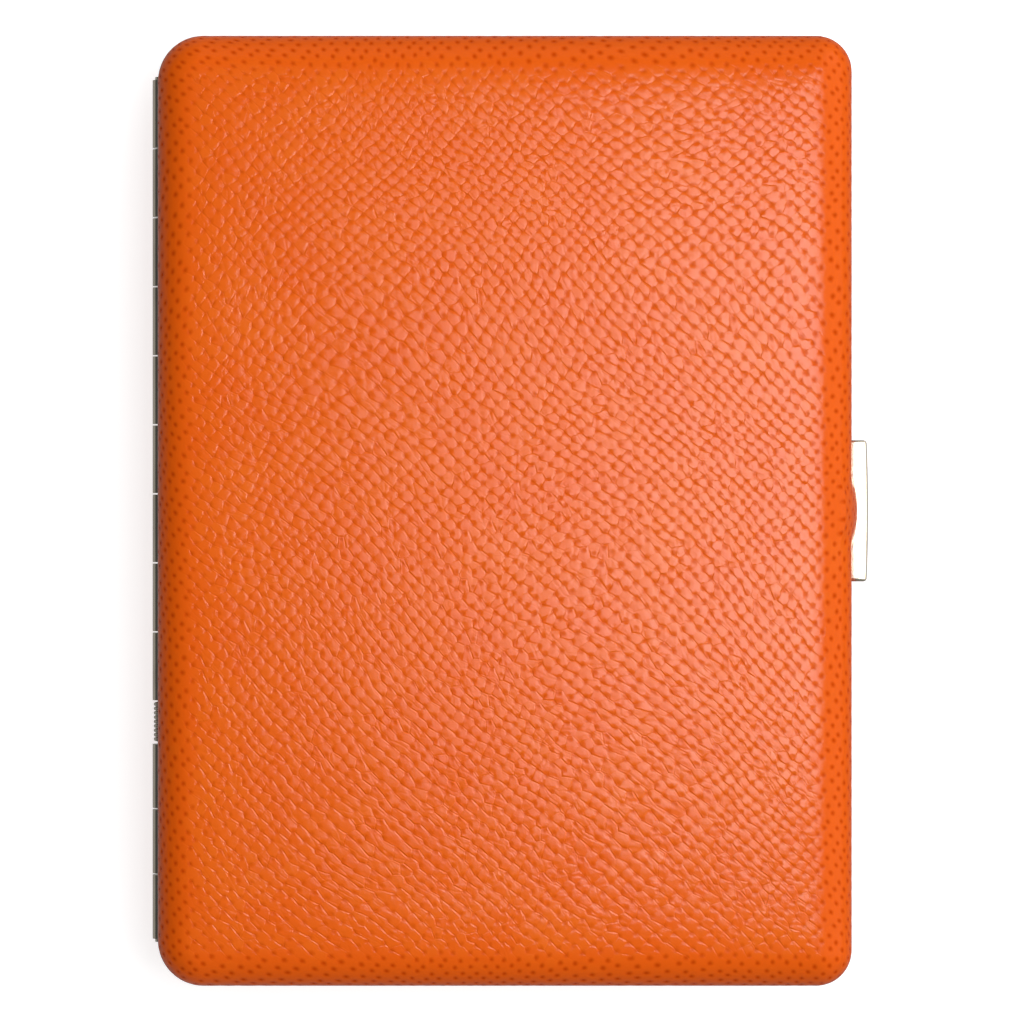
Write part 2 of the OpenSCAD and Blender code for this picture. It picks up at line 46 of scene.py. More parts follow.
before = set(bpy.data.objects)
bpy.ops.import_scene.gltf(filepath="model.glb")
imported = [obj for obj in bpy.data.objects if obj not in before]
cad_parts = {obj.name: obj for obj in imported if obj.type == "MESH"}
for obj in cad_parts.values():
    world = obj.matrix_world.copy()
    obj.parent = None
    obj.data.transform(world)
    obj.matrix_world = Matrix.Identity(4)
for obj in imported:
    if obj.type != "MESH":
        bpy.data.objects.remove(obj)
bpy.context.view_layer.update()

MM = 0.001

# Places read from the frame, in metres
BACK_LO, BACK_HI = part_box("back_leather")
SPINE_X = BACK_LO.x
MOUTH_X = BACK_HI.x
HALF_H = BACK_HI.y
LEATHER_EDGE = BACK_HI.z
LINING_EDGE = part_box("back_lining")[1].z
CASE_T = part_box("front_leather")[1].z
CATCH_FOOT_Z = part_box("catch_tab")[1].z
# The swelling is fullest half way up the catch's foot
SWELL_Z = (CASE_T - LEATHER_EDGE + CATCH_FOOT_Z) / 2


def linear(code):
    """An sRGB hex colour as linear RGBA."""
    parts = [int(code.lstrip("#")[i : i + 2], 16) / 255 for i in (0, 2, 4)]
    return (*[p / 12.92 if p <= 0.04045 else ((p + 0.055) / 1.055) ** 2.4 for p in parts], 1.0)


def length_setting(name, description, millimetres):
    """A length in a settings group."""
    return FloatProperty(name=name, description=description, default=millimetres * MM, unit="LENGTH")


def colour_setting(name, description, code):
    """A colour in a settings group, as an sRGB hex code."""
    return StringProperty(name=name, description=description, default=code)


def turns_setting(name, description, turns):
    """The number of turns of a wound spring."""
    return IntProperty(name=name, description=description, default=turns, min=2)


class CaseLeatherSettings(bpy.types.PropertyGroup):
    """Sizes and colours of the embossed leather covers."""

    colour: colour_setting("Dye", "Colour of the dyed leather", "#F36209")
    pale_colour: colour_setting("Pale Dye", "Colour where the dye lies thin", "#F66C10")
    # Creases and pits: colours partly of dye held in them, partly painted shade
    crease_dye_and_shade: colour_setting("Creases", "Colour in the embossed creases", "#F4660B")
    pit_dye_and_shade: colour_setting("Pits", "Colour at the bottom of the embossed pits", "#CA4005")
    edge_colour: colour_setting("Cut Edge", "Colour of the painted cut edge", "#B84409")
    spine_corner: length_setting("Spine Corner", "Corner radius at the spine", 4.6)
    mouth_corner: length_setting("Mouth Corner", "Corner radius at the opening side", 3.6)
    edge: length_setting("Edge", "Rounding from the face into the walls", 3.5)
    crown: length_setting("Crown", "How far the face falls towards its edges", 0.11)
    crown_width: length_setting("Crown Width", "Width of the falling border of the face", 5.0)
    thickness: length_setting("Thickness", "Thickness of the leather", 0.9)
    spacing: length_setting("Spacing", "Distance between points of the mesh", 0.32)
    pebble: length_setting("Pebble", "Distance between neighbouring pebbles", 1.14)
    slant: FloatProperty(name="Slant", description="Turn of the rows of pebbles, in degrees", default=42.0)
    cushion: length_setting("Cushion", "Height of the pebbles' broad form", 0.013)
    shoulder: length_setting("Shoulder", "Height of the pebbles' sharper shoulders", 0.018)
    pit: length_setting("Pit", "Extra depth where creases meet", 0.035)
    swell_rise: length_setting("Swell Rise", "Height of the swelling over the catch", 0.8)
    swell_radius: length_setting("Swell Radius", "Radius of the swelling's surface", 10.5)


class CaseLiningSettings(bpy.types.PropertyGroup):
    """Sizes and colours of the cloth linings."""

    colour: colour_setting("Cloth", "Colour of the lining cloth", "#B98F5E")
    # Painted shade between the threads
    gap_shade_colour: colour_setting("Gaps", "Colour deep between the threads", "#87653F")
    inset: length_setting("Inset", "Distance of the cloth's face from the leather's", 1.7)
    thickness: length_setting("Thickness", "Thickness of the cloth", 0.4)
    spacing: length_setting("Spacing", "Distance between points of the mesh", 0.9)
    thread: length_setting("Thread", "Distance between threads", 0.55)


class CaseMetalSettings(bpy.types.PropertyGroup):
    """Colours and sizes of the nickel-plated pieces."""

    plate: colour_setting("Plate", "Colour of the nickel plate", "#CFC5B4")
    steel: colour_setting("Steel", "Colour of the spring steel", "#C4BCAD")
    lever_sheet: length_setting("Lever Sheet", "Thickness of the latch lever's sheet", 0.5)
    lever_bow: length_setting("Lever Bow", "How far the lever's middle bows outwards", 0.15)
    lever_corner: length_setting("Lever Corner", "Radius of the folds at the lever's ends", 0.35)
    lever_fold: length_setting("Lever Fold", "Radius of the fold over the lever's top", 0.2)
    hinge_wire: length_setting("Hinge Spring Wire", "Thickness of the hinge spring's wire", 0.36)
    latch_wire: length_setting("Latch Spring Wire", "Thickness of the latch spring's wire", 0.24)
    arm_wire: length_setting("Arm Spring Wire", "Thickness of each arm spring's wire", 0.28)
    hinge_turns: turns_setting("Hinge Spring Turns", "Turns of the hinge spring", 9)
    latch_turns: turns_setting("Latch Spring Turns", "Turns of the latch spring", 12)
    arm_turns: turns_setting("Arm Spring Turns", "Turns of each arm spring", 10)


class CaseStageSettings(bpy.types.PropertyGroup):
    """Light, floor and camera."""

    floor: colour_setting("Floor", "Colour of the floor", "#D9D9D9")
    camera_height: FloatProperty(
        name="Camera Height", description="Camera above the leather's widest line", default=0.4, unit="LENGTH"
    )
    frame_width: FloatProperty(
        name="Frame Width", description="Width of the picture at that line", default=0.103, unit="LENGTH"
    )
    aim: FloatVectorProperty(
        name="Aim", description="Point that the camera looks at", default=(0.00102, -0.00042), size=2
    )


def add(tree, kind, inputs=None, **properties):
    """Adds a node, sets its properties, and gives its inputs numbers, colours or other nodes' outputs."""
    node = tree.nodes.new(kind)
    for name, value in properties.items():
        setattr(node, name, value)
    for name, value in (inputs or {}).items():
        if isinstance(value, bpy.types.NodeSocket):
            tree.links.new(value, node.inputs[name])
        else:
            node.inputs[name].default_value = value
    return node


def new_material(name):
    """A material with an empty node tree, and that tree's shader node."""
    material = bpy.data.materials.new(name)
    material.use_nodes = True
    tree = material.node_tree
    tree.nodes.clear()
    shader = add(tree, "ShaderNodeBsdfPrincipled")
    add(tree, "ShaderNodeOutputMaterial", {"Surface": shader.outputs["BSDF"]})
    return material, tree, shader


def total(tree, parts):
    """The sum of several heights."""
    height = parts[0]
    for part in parts[1:]:
        height = add(tree, "ShaderNodeMath", {0: height, 1: part}, operation="ADD").outputs[0]
    return height


def hide_rows(tree, at, leather):
    """The place on the hide, in millimetres, as a place among pebbles one unit apart.

    The rows run slantwise, bend slowly across the hide and waver a little from pebble to pebble."""
    # Millimetres between the bends, and how far they shift the rows
    bend_length, bend_reach = 27, 7.0
    waver_length, waver_reach = 4.5, 0.6
    # Pebbles are a little longer along the rows than across
    along, across = 0.94, 1.06
    pitch = leather.pebble / MM
    bend = add(tree, "ShaderNodeTexNoise", {"Vector": at, "Scale": 1 / bend_length, "Detail": 0.0})
    waver = add(tree, "ShaderNodeTexNoise", {"Vector": at, "Scale": 1 / waver_length, "Detail": 1.0})
    place = at
    for noise, reach in ((bend, bend_reach), (waver, waver_reach)):
        place = add(
            tree, "ShaderNodeVectorMath", {0: noise.outputs["Color"], 1: (reach, reach, 0.0), 2: place},
            operation="MULTIPLY_ADD",
        ).outputs[0]
    turned = add(
        tree, "ShaderNodeVectorRotate", {"Vector": place, "Angle": math.radians(leather.slant)},
        rotation_type="Z_AXIS",
    )
    return add(
        tree, "ShaderNodeVectorMath", {0: turned.outputs[0], 1: (along / pitch, across / pitch, 0.0)},
        operation="MULTIPLY",
    ).outputs[0]


def embossing_plate(tree, at, leather):
    """The plate's pattern at a place on the hide, in pebbles.

    Gives the place among the rows, the distance to the nearest crease, the node that knows the
    nearest pebble, and the distance to the nearest pit, which lies about where four pebbles meet."""
    pebble_jitter, pit_jitter = 0.54, 0.3
    rows = hide_rows(tree, at, leather)
    creases, pebbles = [
        add(
            tree, "ShaderNodeTexVoronoi", {"Vector": rows, "Scale": 1.0, "Randomness": pebble_jitter},
            voronoi_dimensions="2D", feature=feature,
        )
        for feature in ("DISTANCE_TO_EDGE", "F1")
    ]
    # Each pattern puts a point in each cell, on average half its jitter from the cell's corner
    offset = 0.5 + (pebble_jitter - pit_jitter) / 2
    among = add(tree, "ShaderNodeVectorMath", {0: rows, 1: (offset, offset, 0.0)}, operation="SUBTRACT")
    pits = add(
        tree, "ShaderNodeTexVoronoi", {"Vector": among.outputs[0], "Scale": 1.0, "Randomness": pit_jitter},
        voronoi_dimensions="2D", feature="F1",
    )
    return rows, creases.outputs["Distance"], pebbles, pits.outputs["Distance"]


def cushion_height(tree, at, strain, leather):
    """Height in metres of the grain's broad form: soft pads, which the stretched edges lose."""
    # Distances in pebbles, and shares of the relief
    crease_reach, flattened = 0.45, 0.8
    pit_floor, pit_reach, pit_share = 0.05, 0.45, 0.5
    _, crease, _, pit = embossing_plate(tree, at, leather)
    valley = add(
        tree, "ShaderNodeMapRange",
        {"Value": crease, "From Max": crease_reach, "To Min": -leather.cushion, "To Max": 0.0},
        interpolation_type="SMOOTHSTEP",
    )
    kept = add(tree, "ShaderNodeMath", {0: strain, 1: -flattened, 2: 1.0}, operation="MULTIPLY_ADD")
    soft = add(tree, "ShaderNodeMath", {0: valley.outputs[0], 1: kept.outputs[0]}, operation="MULTIPLY")
    hollow = add(
        tree, "ShaderNodeMapRange",
        {
            "Value": pit, "From Min": pit_floor, "From Max": pit_reach,
            "To Min": -pit_share * leather.pit, "To Max": 0.0,
        },
        interpolation_type="SMOOTHSTEP",
    )
    return total(tree, (soft.outputs[0], hollow.outputs[0]))


class Grain:
    """What the leather's shader knows of a point, as outputs of nodes.

    at is the place on the hide, rows the place among the pebbles, away the way from the nearest
    pebble's middle, and crease the distance to the nearest crease. strain is 1 where the leather is
    stretched, kept is the share of the relief that is left there, and hollow is 1 in a pit. pressed
    is how deep the creases are pressed, and shade how much of their darker colour shows, partly dye and
    partly painted shade."""

    def __init__(self, tree, leather):
        pit_reach, flattened = 0.38, 0.92
        crease_reach, crease_tone = 0.15, 0.5
        self.at = add(tree, "ShaderNodeAttribute", attribute_name="hide_mm").outputs["Vector"]
        self.strain = add(tree, "ShaderNodeAttribute", attribute_name="strain").outputs["Fac"]
        self.rows, self.crease, self.pebbles, pit = embossing_plate(tree, self.at, leather)
        self.hollow = add(
            tree, "ShaderNodeMapRange", {"Value": pit, "From Max": pit_reach, "To Min": 1.0, "To Max": 0.0},
            interpolation_type="SMOOTHSTEP",
        ).outputs[0]
        self.kept = add(
            tree, "ShaderNodeMath", {0: self.strain, 1: -flattened, 2: 1.0}, operation="MULTIPLY_ADD"
        ).outputs[0]
        self.away = add(
            tree, "ShaderNodeVectorMath", {0: self.rows, 1: self.pebbles.outputs["Position"]},
            operation="SUBTRACT",
        ).outputs[0]
        self.pressed = self.depth(tree)
        near = add(
            tree, "ShaderNodeMapRange",
            {"Value": self.crease, "From Max": crease_reach, "To Min": crease_tone, "To Max": 0.0},
            interpolation_type="SMOOTHSTEP",
        )
        self.shade = add(
            tree, "ShaderNodeMath", {0: near.outputs[0], 1: self.pressed},
            operation="MULTIPLY", use_clamp=True,
        ).outputs[0]

    def depth(self, tree):
        """How deep the creases are pressed at the point."""
        # Some creases are pressed sharper than others, in patches a few millimetres wide
        patch_length = 1.8
        noise_low, noise_high = 0.35, 0.65
        faint, sharp = 0.4, 1.2
        patch = add(tree, "ShaderNodeTexNoise", {"Vector": self.at, "Scale": 1 / patch_length, "Detail": 1.0})
        patch = add(
            tree, "ShaderNodeMapRange",
            {
                "Value": patch.outputs["Fac"], "From Min": noise_low, "From Max": noise_high,
                "To Min": faint, "To Max": sharp,
            },
        )
        # Creases along the rows are deeper than those that cross them
        side_low, side_high = -0.2, 0.15
        crossing, along = 0.45, 1.2
        apart = add(tree, "ShaderNodeVectorMath", {0: self.away}, operation="ABSOLUTE")
        apart = add(tree, "ShaderNodeSeparateXYZ", {0: apart.outputs[0]})
        side = add(tree, "ShaderNodeMath", {0: apart.outputs[1], 1: apart.outputs[0]}, operation="SUBTRACT")
        side = add(
            tree, "ShaderNodeMapRange",
            {
                "Value": side.outputs[0], "From Min": side_low, "From Max": side_high,
                "To Min": crossing, "To Max": along,
            },
            interpolation_type="SMOOTHSTEP",
        )
        depth = patch.outputs[0]
        for factor in (self.kept, side.outputs[0]):
            depth = add(tree, "ShaderNodeMath", {0: depth, 1: factor}, operation="MULTIPLY").outputs[0]
        return depth


def leather_colour(tree, grain, leather):
    """The dye, deeper in the creases and pits partly as painted shade, and deeper over the rounded edges as
    painted shade, with paint towards the cut edge.
    """
    # The dye lies unevenly, in clouds a centimetre wide and from pebble to pebble. Over the rounded edges the
    # colour is deeper: painted shade where the face turns down into the walls
    cloud_length = 11
    thick, thin = 0.4, 0.95
    pebble_part, edge_shade_part = 0.3, -0.35
    tone = add(tree, "ShaderNodeSeparateColor", {0: grain.pebbles.outputs["Color"]})
    cloud = add(tree, "ShaderNodeTexNoise", {"Vector": grain.at, "Scale": 1 / cloud_length, "Detail": 3.0})
    uneven = cloud.outputs["Fac"]
    for source, part in ((tone.outputs[0], pebble_part), (grain.strain, edge_shade_part)):
        uneven = add(
            tree, "ShaderNodeMath", {0: source, 1: part, 2: uneven}, operation="MULTIPLY_ADD"
        ).outputs[0]
    pale = add(tree, "ShaderNodeMapRange", {"Value": uneven, "From Min": thick, "From Max": thin})
    # The pits are darker, from dye held in them and from painted shade, and darker still over the rounded
    # edges as painted shade
    flat_pit, edge_pit_shade = 0.35, 0.5
    dark = add(
        tree, "ShaderNodeMath", {0: grain.strain, 1: edge_pit_shade, 2: flat_pit}, operation="MULTIPLY_ADD"
    )
    dark = add(tree, "ShaderNodeMath", {0: grain.hollow, 1: dark.outputs[0]}, operation="MULTIPLY")
    # Towards the cut edge the leather is painted a little darker
    paint_end = 0.6
    inside = add(tree, "ShaderNodeAttribute", attribute_name="emboss")
    painted = add(
        tree, "ShaderNodeMapRange",
        {"Value": inside.outputs["Fac"], "From Max": paint_end, "To Min": 1.0, "To Max": 0.0},
    )
    # The creases' and pits' colours are partly painted shade; the thin dye and the cut edge's paint are the
    # leather's own
    layers = (
        (pale.outputs[0], leather.pale_colour),
        (grain.shade, leather.crease_dye_and_shade),
        (dark.outputs[0], leather.pit_dye_and_shade),
        (painted.outputs[0], leather.edge_colour),
    )
    colour = linear(leather.colour)
    for where, code in layers:
        colour = add(
            tree, "ShaderNodeMix", {0: where, 6: colour, 7: linear(code)}, data_type="RGBA"
        ).outputs[2]
    return colour


def leather_gloss(tree, grain):
    """Roughness and strength of the satin finish, as two outputs.

    Handling has polished the tops unevenly, the creases stay duller, and the pits have no finish."""
    polished = 0.11
    rub = add(
        tree, "ShaderNodeTexNoise", {"Vector": grain.at, "Scale": 2.0, "Detail": 3.0, "Roughness": 0.65}
    )
    # What makes the polish duller, and by how much
    duller = (
        (rub.outputs["Fac"], 0.1),
        (grain.shade, 0.14),
        (grain.hollow, 0.06),
        (grain.strain, 0.08),
    )
    dull = polished
    for source, part in duller:
        dull = add(tree, "ShaderNodeMath", {0: source, 1: part, 2: dull}, operation="MULTIPLY_ADD").outputs[0]
    top_finish, pit_finish, stretched_loss = 0.23, 0.06, 0.08
    finish = add(
        tree, "ShaderNodeMapRange", {"Value": grain.hollow, "To Min": top_finish, "To Max": pit_finish}
    )
    finish = add(
        tree, "ShaderNodeMath", {0: grain.strain, 1: -stretched_loss, 2: finish.outputs[0]},
        operation="MULTIPLY_ADD", use_clamp=True,
    )
    return dull, finish.outputs[0]


def wrinkle_height(tree, grain, leather):
    """Natural wrinkles that cross the pebbles, three millimetres apart, drawn out along the rows."""
    drawn_out = (0.27, 0.5, 0.0)
    waver_length, waver_reach = 1.4, 0.3
    width, depth = 0.07, 0.3
    drawn = add(tree, "ShaderNodeVectorMath", {0: grain.rows, 1: drawn_out}, operation="MULTIPLY")
    waver = add(tree, "ShaderNodeTexNoise", {"Vector": grain.at, "Scale": 1 / waver_length, "Detail": 1.0})
    drawn = add(
        tree, "ShaderNodeVectorMath",
        {0: waver.outputs["Color"], 1: (waver_reach, waver_reach, 0.0), 2: drawn.outputs[0]},
        operation="MULTIPLY_ADD",
    )
    wrinkle = add(
        tree, "ShaderNodeTexVoronoi", {"Vector": drawn.outputs[0], "Scale": 1.0, "Randomness": 1.0},
        voronoi_dimensions="2D", feature="DISTANCE_TO_EDGE",
    )
    wrinkle = add(
        tree, "ShaderNodeMapRange",
        {
            "Value": wrinkle.outputs["Distance"], "From Max": width,
            "To Min": -depth * leather.shoulder, "To Max": 0.0,
        },
        interpolation_type="SMOOTHSTEP",
    )
    return add(
        tree, "ShaderNodeMath", {0: wrinkle.outputs[0], 1: grain.kept}, operation="MULTIPLY"
    ).outputs[0]


def leather_relief(tree, grain, leather):
    """Height in metres of the fine relief: creases, aslant pebbles, wrinkles, pits and pores."""
    # Shoulders beside the creases, and a thin line at their bottom
    shoulder_width, shoulder_depth = 0.14, 0.8
    line_width, line_depth = 0.06, 0.25
    furrows = [
        add(
            tree, "ShaderNodeMapRange",
            {"Value": grain.crease, "From Max": width, "To Min": -depth * leather.shoulder, "To Max": 0.0},
            interpolation_type="SMOOTHSTEP",
        ).outputs[0]
        for width, depth in ((shoulder_width, shoulder_depth), (line_width, line_depth))
    ]
    furrow = add(tree, "ShaderNodeMath", {0: total(tree, furrows), 1: grain.pressed}, operation="MULTIPLY")
    # Each pebble lies a little aslant
    pad_start, pad_full, steepness = 0.02, 0.2, 0.05
    way = add(
        tree, "ShaderNodeVectorMath", {0: grain.pebbles.outputs["Color"], 1: (0.5, 0.5, 0.5)},
        operation="SUBTRACT",
    )
    slope = add(tree, "ShaderNodeVectorMath", {0: grain.away, 1: way.outputs[0]}, operation="DOT_PRODUCT")
    pad = add(
        tree, "ShaderNodeMapRange",
        {
            "Value": grain.crease, "From Min": pad_start, "From Max": pad_full,
            "To Max": steepness * leather.pebble,
        },
        interpolation_type="SMOOTHSTEP",
    )
    aslant = slope.outputs["Value"]
    for factor in (pad.outputs[0], grain.pressed):
        aslant = add(tree, "ShaderNodeMath", {0: aslant, 1: factor}, operation="MULTIPLY").outputs[0]
    pit_share = 0.6
    pit = add(tree, "ShaderNodeMath", {0: grain.hollow, 1: -pit_share * leather.pit}, operation="MULTIPLY")
    pore_length, pore_depth = 0.34, 0.3
    pore = add(tree, "ShaderNodeTexNoise", {"Vector": grain.at, "Scale": 1 / pore_length, "Detail": 2.0})
    pore = add(
        tree, "ShaderNodeMath", {0: pore.outputs["Fac"], 1: pore_depth * leather.shoulder},
        operation="MULTIPLY",
    )
    wrinkle = wrinkle_height(tree, grain, leather)
    return total(tree, (furrow.outputs[0], aslant, wrinkle, pit.outputs[0], pore.outputs[0]))


def leather_material(leather):
    """Full-grain calf leather, dyed through, embossed with a pebble plate and given a satin finish.

    The plate's creases and pits hold more dye, and their colour also carries painted shade. Where the sky or
    a lamp is mirrored, the pads' flat tops have a soft pink sheen, and elsewhere only the shoulders that face
    the lamp catch a thin line.
    The leather is stretched over the edges, which leaves rows of small round pits."""
    material, tree, shader = new_material("embossed_calf_leather")
    grain = Grain(tree, leather)
    roughness, finish = leather_gloss(tree, grain)
    height = leather_relief(tree, grain, leather)
    bump = add(tree, "ShaderNodeBump", {"Height": height, "Strength": 1.0, "Distance": 1.0})
    tree.links.new(leather_colour(tree, grain, leather), shader.inputs["Base Color"])
    tree.links.new(roughness, shader.inputs["Roughness"])
    tree.links.new(finish, shader.inputs["Specular IOR Level"])
    tree.links.new(bump.outputs["Normal"], shader.inputs["Normal"])
    return material


def cloth_material(lining):
    """Cotton lining cloth, plain woven and glued down: matt, with painted light on the threads' backs and
    painted shade between the threads.
    """
    material, tree, shader = new_material("woven_cotton_lining")
    at = add(tree, "ShaderNodeAttribute", attribute_name="hide_mm").outputs["Vector"]
    # One thread is half a wave of the sine, and warp and weft lie on top by turns. Lining cotton has
    # a thread each third of a millimetre, too fine to show, so the weave is drawn one and a half times
    # as coarse
    waves = add(tree, "ShaderNodeVectorMath", {0: at, 3: math.pi * MM / lining.thread}, operation="SCALE")
    # Slubs thicken and bend the threads
    slub_scale, slub_bend, slub_light = 0.8, 1.6, 0.6
    slub = add(tree, "ShaderNodeTexNoise", {"Vector": at, "Scale": slub_scale, "Detail": 3.0})
    bent = add(
        tree, "ShaderNodeVectorMath",
        {0: slub.outputs["Color"], 1: (slub_bend, slub_bend, 0.0), 2: waves.outputs[0]},
        operation="MULTIPLY_ADD",
    )
    split = add(tree, "ShaderNodeSeparateXYZ", {0: bent.outputs[0]})
    warp = add(tree, "ShaderNodeMath", {0: split.outputs[0]}, operation="SINE")
    weft = add(tree, "ShaderNodeMath", {0: split.outputs[1]}, operation="SINE")
    crossing = 0.15
    over = add(tree, "ShaderNodeMath", {0: warp.outputs[0], 1: weft.outputs[0]}, operation="MULTIPLY")
    over = add(
        tree, "ShaderNodeMapRange", {"Value": over.outputs[0], "From Min": -crossing, "From Max": crossing}
    )
    warp = add(tree, "ShaderNodeMath", {0: warp.outputs[0]}, operation="ABSOLUTE")
    weft = add(tree, "ShaderNodeMath", {0: weft.outputs[0]}, operation="ABSOLUTE")
    thread = add(
        tree, "ShaderNodeMix", {0: over.outputs[0], 2: warp.outputs[0], 3: weft.outputs[0]}, data_type="FLOAT"
    )
    # Painted light and shade: the threads' backs and slubs are painted lighter, the gaps between threads
    # darker
    deep, high = 0.2, 1.3
    light = add(
        tree, "ShaderNodeMath", {0: slub.outputs["Fac"], 1: slub_light, 2: thread.outputs[0]},
        operation="MULTIPLY_ADD",
    )
    light = add(tree, "ShaderNodeMapRange", {"Value": light.outputs[0], "From Min": deep, "From Max": high})
    mix = add(
        tree, "ShaderNodeMix",
        {0: light.outputs[0], 6: linear(lining.gap_shade_colour), 7: linear(lining.colour)}, data_type="RGBA",
    )
    tree.links.new(mix.outputs[2], shader.inputs["Base Color"])
    shader.inputs["Roughness"].default_value = 0.85
    shader.inputs["Sheen Weight"].default_value = 0.3
    relief = 0.065 * MM
    bump = add(tree, "ShaderNodeBump", {"Height": thread.outputs[0], "Strength": 1.0, "Distance": relief})
    tree.links.new(bump.outputs["Normal"], shader.inputs["Normal"])
    return material


def nickel_material(name, colour, roughness, scratch, grain_axis=(1.0, 1.0, 1.0)):
    """Nickel plate on brass or steel: warm and bright, with fine handling scratches and dull smears."""
    material, tree, shader = new_material(name)
    # Waves of each pattern in a metre
    scratches, smears = 1800, 160
    at = add(tree, "ShaderNodeTexCoord").outputs["Object"]
    along = add(
        tree, "ShaderNodeVectorMath", {0: at, 1: [scratches * a for a in grain_axis]}, operation="MULTIPLY"
    )
    hair = add(
        tree, "ShaderNodeTexNoise",
        {"Vector": along.outputs[0], "Scale": 1.0, "Detail": 4.0, "Roughness": 0.7},
    )
    smear = add(tree, "ShaderNodeTexNoise", {"Vector": at, "Scale": smears, "Detail": 3.0})
    # Worn places have a darker tint and are duller
    worn_low, worn_high = 0.45, 0.75
    worn_tint, worn_dullness = 0.84, 0.08
    worn = add(
        tree, "ShaderNodeMapRange",
        {"Value": smear.outputs["Fac"], "From Min": worn_low, "From Max": worn_high},
        interpolation_type="SMOOTHSTEP",
    )
    plate = linear(colour)
    tint = add(
        tree, "ShaderNodeMix",
        {0: worn.outputs[0], 6: plate, 7: [worn_tint * c for c in plate[:3]] + [1.0]}, data_type="RGBA",
    )
    tree.links.new(tint.outputs[2], shader.inputs["Base Color"])
    shader.inputs["Metallic"].default_value = 1.0
    rough = roughness - scratch / 2
    for source, part in ((hair, scratch), (smear, worn_dullness)):
        rough = add(
            tree, "ShaderNodeMath", {0: source.outputs["Fac"], 1: part, 2: rough}, operation="MULTIPLY_ADD"
        ).outputs[0]
    tree.links.new(rough, shader.inputs["Roughness"])
    # Forming and tumbling have rounded every edge a little
    rounding, scratch_depth = 0.07 * MM, 0.004 * MM
    rounded = add(tree, "ShaderNodeBevel", {"Radius": rounding}, samples=6)
    bump = add(
        tree, "ShaderNodeBump",
        {
            "Height": hair.outputs["Fac"], "Strength": 0.25, "Distance": scratch_depth,
            "Normal": rounded.outputs["Normal"],
        },
    )
    tree.links.new(bump.outputs["Normal"], shader.inputs["Normal"])
    return material


def finish_piece(bm, name, material, body, nodes):
    """Turns a bmesh into a piece that rides on a body and stands for CAD nodes."""
    mesh = bpy.data.meshes.new(name)
    bm.to_mesh(mesh)
    bm.free()
    for face in mesh.polygons:
        face.use_smooth = True
    piece = bpy.data.objects.new(name, mesh)
    bpy.context.scene.collection.objects.link(piece)
    piece.data.materials.append(material)
    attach(piece, body)
    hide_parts(*nodes)
    return piece


class Sheet:
    """A flat sheet wrapped over one half of the case: face, rounded edges, corners and walls.

    inset is the distance inwards from the leather's outer surface, and wall_end is the height at
    which the walls end. The middle of the sheet up to the axes of the corners lies flat. Each point
    beyond it belongs to a point of that middle's outline and lies in a direction from it."""

    def __init__(self, leather, inset, wall_end):
        self.inset = inset
        self.edge = leather.edge
        self.crown = 0.0 if inset else leather.crown
        self.crown_width = leather.crown_width
        self.corners = {-1: leather.spine_corner, 1: leather.mouth_corner}
        self.round = self.edge - inset
        self.arc = self.round * math.pi / 2
        self.reach = self.arc + wall_end - self.edge
        self.half_y = HALF_H - self.edge + self.reach
        self.low_x = SPINE_X + self.edge - self.reach
        self.high_x = MOUTH_X - self.edge + self.reach

    def anchor(self, u, v):
        """The middle's point that a flat point (u, v) belongs to, its direction, distance and corner."""
        side = -1 if u < 0 else 1
        corner = self.corners[side]
        core_x = (SPINE_X if side < 0 else MOUTH_X) - side * corner
        core_y = math.copysign(HALF_H - corner, v)
        a, b = side * (u - core_x), abs(v) - abs(core_y)
        if a <= 0 and b <= 0:
            return Vector((u, v)), Vector((0, 0)), 0.0, corner
        if b <= 0:
            return Vector((core_x, v)), Vector((side, 0)), a, corner
        if a <= 0:
            return Vector((u, core_y)), Vector((0, math.copysign(1, v))), b, corner
        turn = math.pi / 4 * (b / a) if a >= b else math.pi / 2 - math.pi / 4 * (a / b)
        way = Vector((side * math.cos(turn), math.copysign(math.sin(turn), v)))
        return Vector((core_x, core_y)), way, max(a, b), corner

    def sink(self, past):
        """How much lower the crowned face lies at a distance from the start of the rounding."""
        slope = 3 * self.crown / self.crown_width
        if past < 0:
            return self.crown * max(0.0, 1 + past / self.crown_width) ** 3
        # Past the start of the rounding the slope fades out
        fade = 1 * MM
        eased = min(past, fade)
        low = self.crown + slope * (eased - eased**2 / (2 * fade))
        return low * min(1.0, (self.reach - past) / (self.reach - self.arc))

    def drop(self, distance, corner):
        """How far out and how deep a point lies at a flat distance from the middle's outline."""
        flat = corner - self.edge
        past = distance - flat
        if past <= 0:
            return distance, self.inset
        if past < self.arc:
            tilt = past / self.round
            return flat + self.round * math.sin(tilt), self.inset + self.round * (1 - math.cos(tilt))
        return flat + self.round, self.edge + past - self.arc


def swollen_x(x, y, z, leather):
    """x of a point of the front cover's wall, moved out where the catch's foot swells the leather."""
    reach = leather.swell_radius
    inside = reach**2 - y**2 - (z - SWELL_Z) ** 2
    if inside <= 0 or x < MOUTH_X - leather.edge / 2:
        return x
    bulge = MOUTH_X + leather.swell_rise - reach + math.sqrt(inside)
    blend = 0.25 * MM
    part = max(0.0, blend - abs(bulge - x)) / blend
    return max(x, bulge) + part**2 * blend / 4


